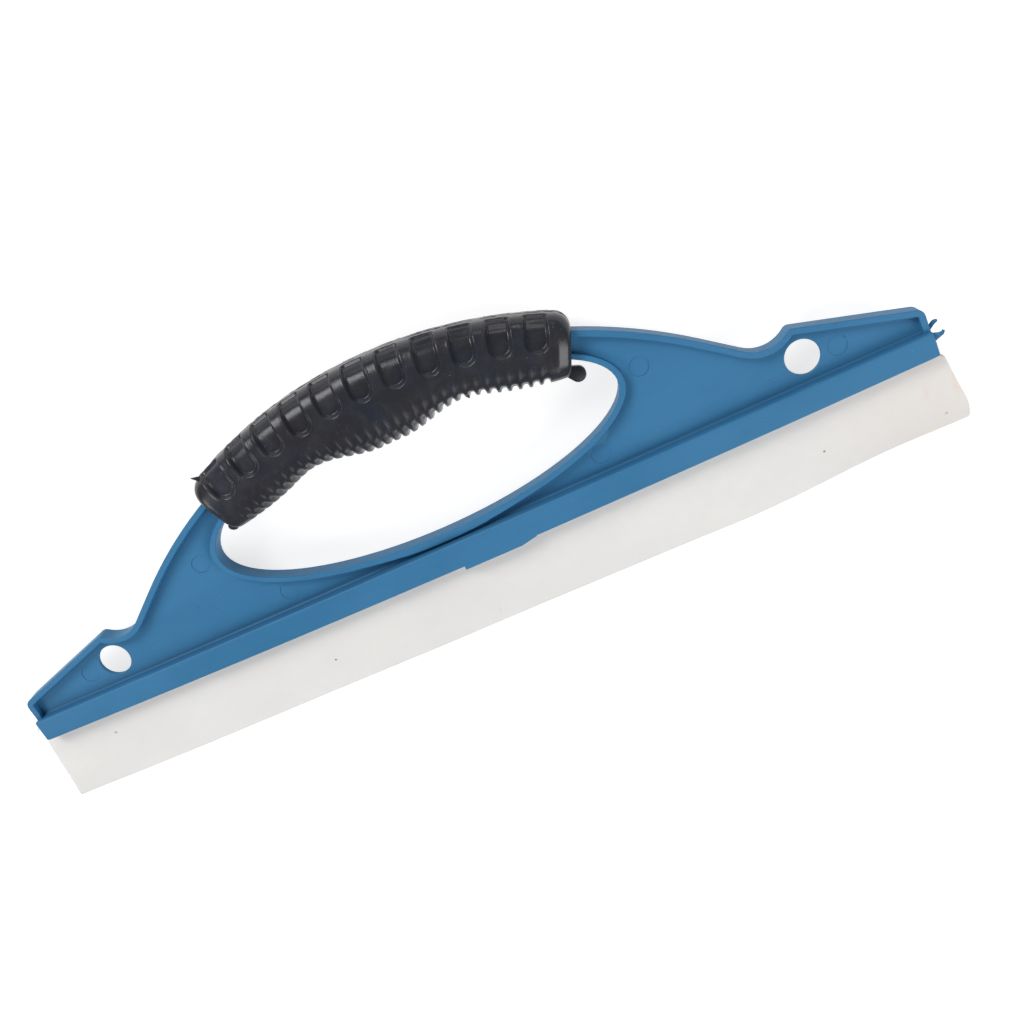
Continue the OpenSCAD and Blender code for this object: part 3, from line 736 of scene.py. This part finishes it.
def blade_silicone():
    """Milky silicone: faint clouds, fine trimming lines, a few dark specks, a warmer right end."""
    n = Nodes("blade_silicone")
    cloud = n.noise(30, 3, 0.55, (0.6, 1, 1))
    mottle = n.noise(3.2, 3, 0.6)
    base = n.mix(n.step(cloud, 0.35, 0.65), srgb(230, 228, 226), srgb(234, 232, 229))
    base = n.mix(n.ramp(mottle, 0.35, 0.75, (0, 0.25)), base, srgb(223, 223, 222))
    warm = n.math("MULTIPLY", n.step(n.axis(0), 0.100, 0.158), 0.55)
    base = n.mix(warm, base, srgb(233, 225, 219))
    # marks: plan position, radius, how strong, colour, how wide and high
    for x, y, r, share, tone, stretch in (
            (153.5, -20.3, 0.5, 0.4, (120, 118, 116), (1, 0.8)),
            (-134.8, -8.4, 0.45, 0.75, (130, 130, 130), (1, 0.8)),
            (57.0, -0.8, 0.3, 0.6, (120, 120, 120), (1, 1)),
            (-53.0, -15.3, 0.35, 0.8, (70, 72, 78), (1, 1)),
            (116.0, -15.3, 0.35, 0.8, (70, 72, 78), (1, 1)),
            (149.0, -10.6, 1.3, 0.22, (226, 205, 190), (0.6, 1.7)),
            (158.2, -11.3, 2.4, 0.3, (228, 208, 194), (0.6, 1.8)),
            (4.0, -21.8, 0.5, 0.35, (190, 190, 190), (0.3, 2.6))):
        mark = n.math("MULTIPLY", n.spot(x, y, r, 0.35, stretch), share)
        base = n.mix(mark, base, srgb(*tone))
    rough = n.math("ADD", n.ramp(cloud, 0.3, 0.7, (0.44, 0.54)),
                   n.ramp(mottle, 0.3, 0.7, (-0.05, 0.05)))
    skin = n.bump(n.noise(9, 2, 0.5, (0.5, 1, 1)), 0.06, 0.5)
    skin = n.bump(n.noise(0.5, 2, 0.5, (1, 0.12, 1)), 0.01, 0.5, skin)
    n.shader.inputs["Subsurface Weight"].default_value = 0.5
    n.shader.inputs["Subsurface Scale"].default_value = 0.003
    n.shader.inputs["Subsurface Radius"].default_value = (1.0, 0.9, 0.8)
    n.shader.inputs["IOR"].default_value = 1.41
    return n.finish(base, rough, skin)


def wear(obj, mat):
    obj.data.materials.clear()
    obj.data.materials.append(mat)


mat_blue, mat_grip, mat_blade = blue_plastic(), grip_rubber(), blade_silicone()
for piece in grip_pieces:
    wear(piece, mat_grip)
for piece in frame_pieces:
    wear(piece, mat_blue)
wear(blade, mat_blade)

# ---------------------------------------------------------------- camera, floor, light
# Place and axes of the camera, solved from the photo
CAMERA_PLACE, LENS, SENSOR = (0.07495, 0.08984, 0.29464), 35.89, 36
CAMERA_RIGHT = (0.90396, -0.42749, -0.01027)
CAMERA_UP = (0.39349, 0.84099, -0.37135)
CAMERA_BACK = (0.16738, 0.33165, 0.92844)
FLOOR_GAP, FLOOR_SIZE, FLOOR_TONE, FLOOR_GLOW = 0.0002, 6, 0.5, 0.74
WORLD_GLOW, LIGHT_DISTANCE = 0.16, 2.0

camera = bpy.data.objects.new("camera", bpy.data.cameras.new("camera"))
bpy.context.scene.collection.objects.link(camera)
camera.data.sensor_width, camera.data.lens = SENSOR, LENS
rotation = Matrix([CAMERA_RIGHT, CAMERA_UP, CAMERA_BACK]).transposed().to_4x4()
camera.matrix_world = Matrix.Translation(CAMERA_PLACE) @ rotation
camera.data.clip_start, camera.data.clip_end = 0.01, 20
bpy.context.scene.camera = camera

floor_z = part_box("grip")[0].z - FLOOR_GAP
bpy.ops.mesh.primitive_plane_add(size=FLOOR_SIZE, location=(0, 0, floor_z))
floor = bpy.context.object
floor.name = "floor"
mat_floor = bpy.data.materials.new("floor")
mat_floor.use_nodes = True
nodes, links = mat_floor.node_tree.nodes, mat_floor.node_tree.links
nodes.clear()
out = nodes.new("ShaderNodeOutputMaterial")
diffuse = nodes.new("ShaderNodeBsdfDiffuse")
diffuse.inputs["Color"].default_value = (FLOOR_TONE, FLOOR_TONE, FLOOR_TONE, 1)
# the floor's own glow shows only when it is looked at, directly or in a reflection
glow = nodes.new("ShaderNodeEmission")
path = nodes.new("ShaderNodeLightPath")
seen = path.outputs["Is Camera Ray"]
for kind in ("Is Glossy Ray", "Is Transmission Ray"):
    either = nodes.new("ShaderNodeMath")
    either.operation = "MAXIMUM"
    links.new(seen, either.inputs[0])
    links.new(path.outputs[kind], either.inputs[1])
    seen = either.outputs[0]
level = nodes.new("ShaderNodeMath")
level.operation = "MULTIPLY"
level.inputs[1].default_value = FLOOR_GLOW
links.new(seen, level.inputs[0])
links.new(level.outputs[0], glow.inputs["Strength"])
add = nodes.new("ShaderNodeAddShader")
links.new(diffuse.outputs[0], add.inputs[0])
links.new(glow.outputs[0], add.inputs[1])
links.new(add.outputs[0], out.inputs["Surface"])
floor.data.materials.append(mat_floor)

# white behind everything for the camera, dim as a source of light
world = bpy.data.worlds.new("world")
bpy.context.scene.world = world
world.use_nodes = True
sky = world.node_tree
sky.nodes["Background"].inputs["Color"].default_value = (1, 1, 1, 1)
white = sky.nodes.new("ShaderNodeMapRange")
white.inputs["To Min"].default_value = WORLD_GLOW
direct = sky.nodes.new("ShaderNodeLightPath").outputs["Is Camera Ray"]
sky.links.new(direct, white.inputs["Value"])
sky.links.new(white.outputs[0], sky.nodes["Background"].inputs["Strength"])


def softbox(name, azimuth, polar, size, power):
    """Area light at an azimuth from +X and a polar angle from +Z, both in degrees."""
    a, p = math.radians(azimuth), math.radians(polar)
    place = LIGHT_DISTANCE * Vector(
        (math.cos(a) * math.sin(p), math.sin(a) * math.sin(p), math.cos(p)))
    data = bpy.data.lights.new(name, "AREA")
    data.shape = "RECTANGLE"
    data.size, data.size_y = size
    data.energy = power
    obj = bpy.data.objects.new(name, data)
    bpy.context.scene.collection.objects.link(obj)
    obj.location = place
    obj.rotation_mode = "QUATERNION"
    obj.rotation_quaternion = place.to_track_quat("Z", "Y")


softbox("light_back", 117, 56, (1.0, 0.85), 25)
softbox("light_right", -36, 56, (0.8, 1.1), 18)
softbox("light_right_back", 70, 70, (0.6, 0.5), 3)
softbox("light_left", 183, 52, (0.7, 0.7), 9)
softbox("light_front", 285, 46, (1.2, 1.2), 9)

bpy.context.scene.view_settings.view_transform = "Standard"
